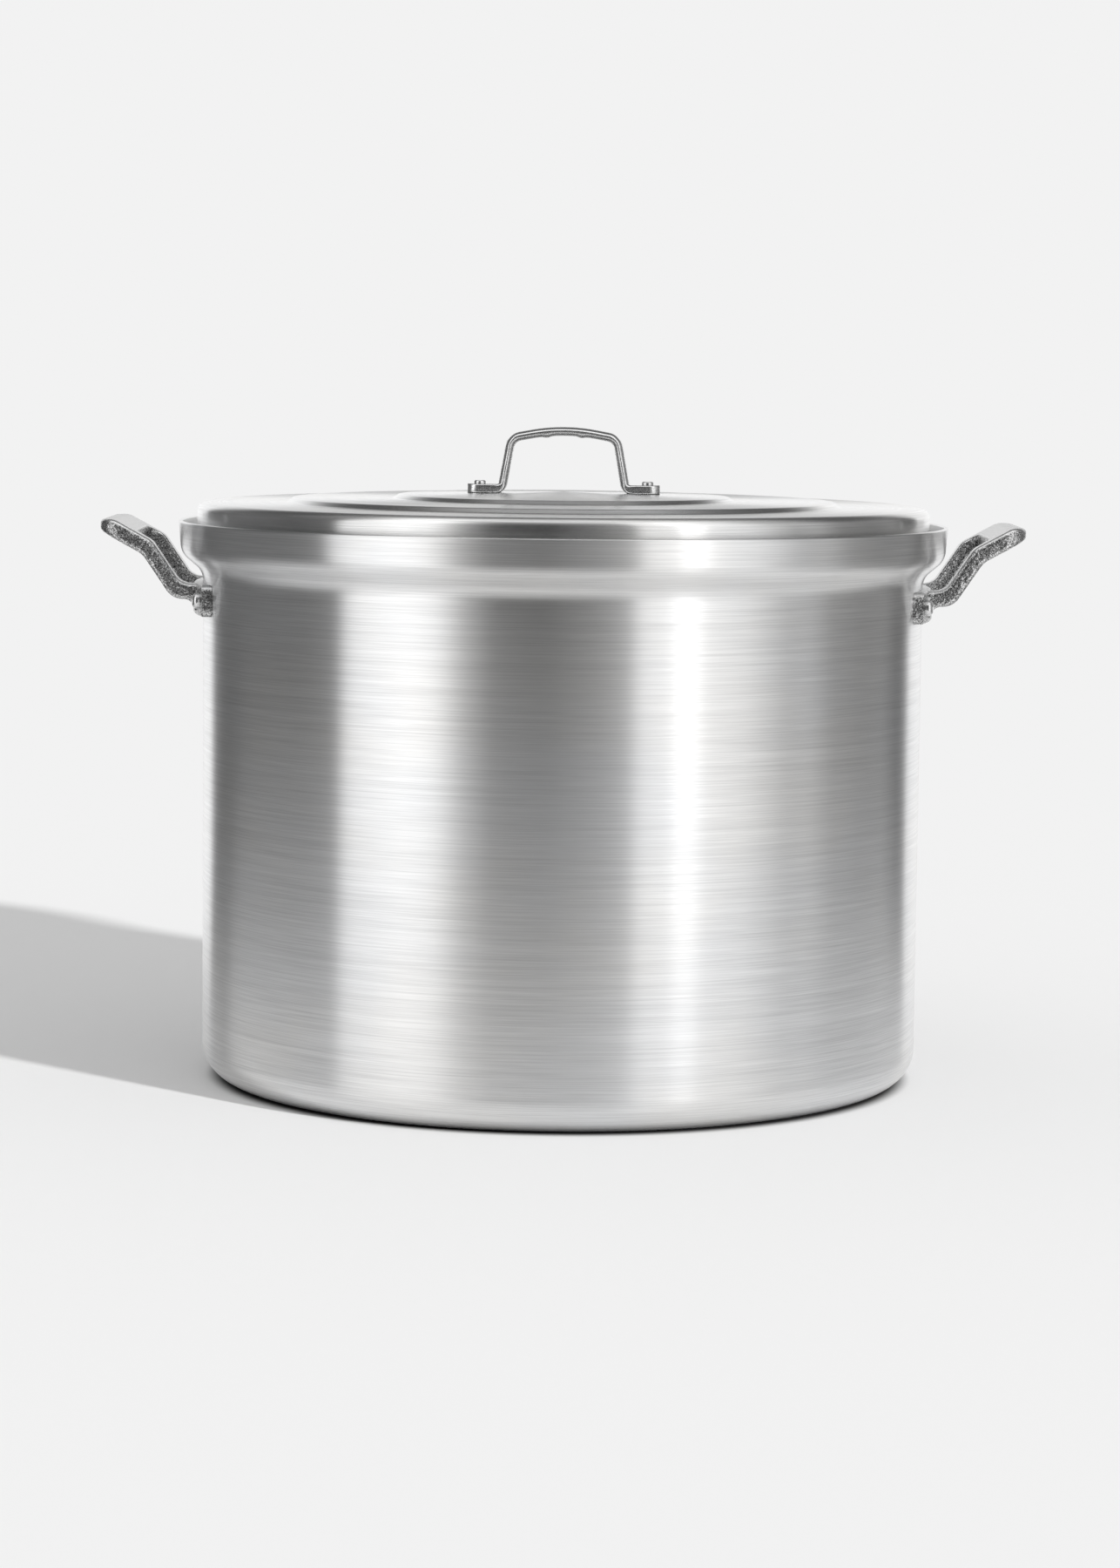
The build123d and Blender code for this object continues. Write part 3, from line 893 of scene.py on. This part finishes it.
@dataclass
class Studio:
    """A pale sweep, a soft key light from the right, and bright and dark panels that the metal reflects."""

    camera_place: tuple[float, float, float] = (-0.0005, -3.025, 0.530)
    camera_dip: float = radians(5.93)
    camera_roll: float = radians(0.6)
    lens: float = 94.0
    sight: float = 50.0
    key_heading: tuple[float, float] = (0.72, -0.69)
    key_height: float = radians(23)
    key_strength: float = 3.0
    key_size: float = radians(3)
    ambient: float = 0.613
    floor_tone: float = 0.9
    floor_size: float = 12.0
    floor_bright_to: float = 0.52
    floor_dark_from: float = 1.10
    # Painted contact shadow: the floor is painted dark out to the first radius and fades to its own tone by
    # the second.
    painted_shadow_from: float = 0.248
    painted_shadow_to: float = 0.264
    painted_shadow_tone: float = 0.04
    sky: float = 1.15
    sky_from: tuple[float, float] = (radians(50), radians(66))
    back_sky: float = 0.10
    back_sky_from: tuple[float, float] = (radians(16), radians(36))
    back_from: tuple[float, float] = (0.0, 0.25)
    bands: tuple[Band, ...] = (
        Band(-180, 1.00), Band(-150, 1.00), Band(-146, 0.12), Band(-120, 0.16), Band(-90, 0.12),
        Band(-75, 0.17), Band(-72, 1.15), Band(-50, 1.40), Band(-41, 1.20), Band(-31, 0.42),
        Band(-22, 0.10), Band(-5, 0.05), Band(10, 0.18), Band(21.5, 0.36), Band(24.5, 1.05),
        Band(35, 1.10), Band(37, 1.80), Band(43, 1.70), Band(45, 1.15), Band(60, 0.95),
        Band(76, 0.50), Band(85, 0.52), Band(95, 0.30), Band(112, 0.24), Band(124, 0.28),
        Band(138, 0.10), Band(142, 0.12), Band(146, 0.95), Band(180, 1.00),
    )

    def build(self) -> None:
        """Makes the floor, the lights, the world and the camera."""
        self.build_floor()
        self.build_key()
        self.build_world()
        self.build_camera()
        bpy.context.scene.view_settings.view_transform = "Standard"

    def build_floor(self) -> None:
        """Makes the pale floor, with a painted contact shadow where the base touches it.

        The metal sees it bright close to the pot and fading into the dark studio further off.
        """
        half = self.floor_size / 2
        corners = [(-half, -half, 0.0), (half, -half, 0.0), (half, half, 0.0), (-half, half, 0.0)]
        mesh = bpy.data.meshes.new("floor")
        mesh.from_pydata(corners, [], [(0, 1, 2, 3)])
        floor = bpy.data.objects.new("floor", mesh)
        bpy.context.scene.collection.objects.link(floor)
        material = bpy.data.materials.new("floor_paper")
        material.use_nodes = True
        nodes = Nodes(material.node_tree)
        material.node_tree.nodes.remove(material.node_tree.nodes["Principled BSDF"])
        paper = nodes.add("BsdfDiffuse")
        clear = nodes.add("BsdfTransparent")
        place = nodes.add("TexCoord").outputs["Object"]
        distance = nodes.add("VectorMath", operation="LENGTH")
        nodes.feed(place, distance.inputs[0])
        away = distance.outputs["Value"]
        # Painted contact shadow: dark paper under the base's rounded edge, fading outwards to the floor's
        # tone.
        tone = nodes.span(away, self.painted_shadow_from, self.painted_shadow_to, self.painted_shadow_tone, self.floor_tone)
        nodes.feed(tone, paper.inputs["Color"])
        far = nodes.span(away, self.floor_bright_to, self.floor_dark_from)
        share = nodes.math("MULTIPLY", far, nodes.add("LightPath").outputs["Is Glossy Ray"])
        mix = nodes.add("MixShader")
        nodes.feed(share, mix.inputs[0])
        nodes.feed(paper.outputs[0], mix.inputs[1])
        nodes.feed(clear.outputs[0], mix.inputs[2])
        nodes.feed(mix.outputs[0], material.node_tree.nodes["Material Output"].inputs["Surface"])
        mesh.materials.append(material)

    def build_key(self) -> None:
        """Makes the key light, which only throws the soft shadow: the metal's highlights are the panels."""
        lamp = bpy.data.lights.new("key", "SUN")
        lamp.energy = self.key_strength
        lamp.angle = self.key_size
        key = bpy.data.objects.new("key", lamp)
        east, north = self.key_heading
        key.rotation_euler = (pi / 2 - self.key_height, 0.0, atan2(east, -north))
        key.visible_glossy = False
        bpy.context.scene.collection.objects.link(key)

    def panels(self, nodes: Nodes) -> bpy.types.NodeSocket:
        """Adds the nodes that place the panels: the strips round the pot and the sky over them.

        Args:
            nodes: The world's node tree.

        Returns:
            The colour that the metal sees in each direction.
        """
        heading = nodes.add("SeparateXYZ")
        nodes.feed(nodes.add("TexCoord").outputs["Generated"], heading.inputs[0])
        turn = nodes.math("ARCTAN2", heading.outputs[0], nodes.math("MULTIPLY", heading.outputs[1], -1.0))
        share = nodes.math("ADD", nodes.math("DIVIDE", turn, 2 * pi), 0.5)
        ramp = nodes.add("ValToRGB")
        stops = ramp.color_ramp.elements
        for band in self.bands[1:-1]:
            stops.new((band.start + 180) / 360)
        for stop, band in zip(stops, self.bands):
            stop.position = (band.start + 180) / 360
            stop.color = (band.level, band.level, band.level, 1)
        nodes.feed(share, ramp.inputs[0])
        behind = nodes.span(heading.outputs[1], *self.back_from)
        edges = zip(self.sky_from, self.back_sky_from)
        low_edge, high_edge = (nodes.blend(behind, sin(front), sin(back)) for front, back in edges)
        overhead = nodes.span(heading.outputs[2], low_edge, high_edge)
        above = nodes.blend(behind, self.sky, self.back_sky)
        return nodes.tint(overhead, ramp.outputs[0], nodes.vector(above, above, above))

    def build_world(self) -> None:
        """Makes the world: paper white to the camera, even light to the floor, and panels to the metal."""
        world = bpy.data.worlds.new("studio")
        world.use_nodes = True
        world.cycles.sampling_method = "NONE"
        bpy.context.scene.world = world
        world.node_tree.nodes.clear()
        nodes = Nodes(world.node_tree)
        metal = nodes.add("Background")
        nodes.feed(self.panels(nodes), metal.inputs["Color"])
        paper = nodes.add("Background")
        paper.inputs["Color"].default_value = (PAPER_WHITE, PAPER_WHITE, PAPER_WHITE, 1)
        even = nodes.add("Background")
        even.inputs["Color"].default_value = (self.ambient, self.ambient, self.ambient, 1)
        path = nodes.add("LightPath")
        first = nodes.add("MixShader")
        nodes.feed(path.outputs["Is Glossy Ray"], first.inputs[0])
        nodes.feed(even.outputs[0], first.inputs[1])
        nodes.feed(metal.outputs[0], first.inputs[2])
        second = nodes.add("MixShader")
        nodes.feed(path.outputs["Is Camera Ray"], second.inputs[0])
        nodes.feed(first.outputs[0], second.inputs[1])
        nodes.feed(paper.outputs[0], second.inputs[2])
        nodes.feed(second.outputs[0], nodes.add("OutputWorld").inputs["Surface"])

    def build_camera(self) -> None:
        """Places the camera in front of the pot, a little above its rim and looking slightly down."""
        lens = bpy.data.cameras.new("camera")
        lens.lens = self.lens
        lens.clip_end = self.sight
        camera = bpy.data.objects.new("camera", lens)
        bpy.context.scene.collection.objects.link(camera)
        look = Matrix.Rotation(pi / 2 - self.camera_dip, 4, "X") @ Matrix.Rotation(self.camera_roll, 4, "Z")
        camera.matrix_world = Matrix.Translation(self.camera_place) @ look
        bpy.context.scene.camera = camera


def main() -> None:
    """Builds the pot, its lid, the finishes of its fittings, and the studio."""
    lathe = lathe_group()
    casting = casting_group()
    body = SpunFinish(Slot.BODY, lathe)
    sheet = SpunFinish(Slot.LID, lathe, roughness=0.24)
    cast = CastFinish(Slot.CAST, casting)
    polished = replace(cast, tone=0.97, fleck_and_shade_tone=0.6, raw_roughness=0.2, smooth_roughness=0.2, bump=0.2)
    rivet = CastFinish(Slot.RIVET, casting, grain_size=0.9 * MM, fleck_and_shade_tone=0.6, bump=0.15)
    PotBody().build(body.material())
    Lid().build(sheet.material())
    LidGrip().build(polished.material())
    Fittings().dress(cast.material(), rivet.material())
    Studio().build()


if __name__ == "__main__":
    main()
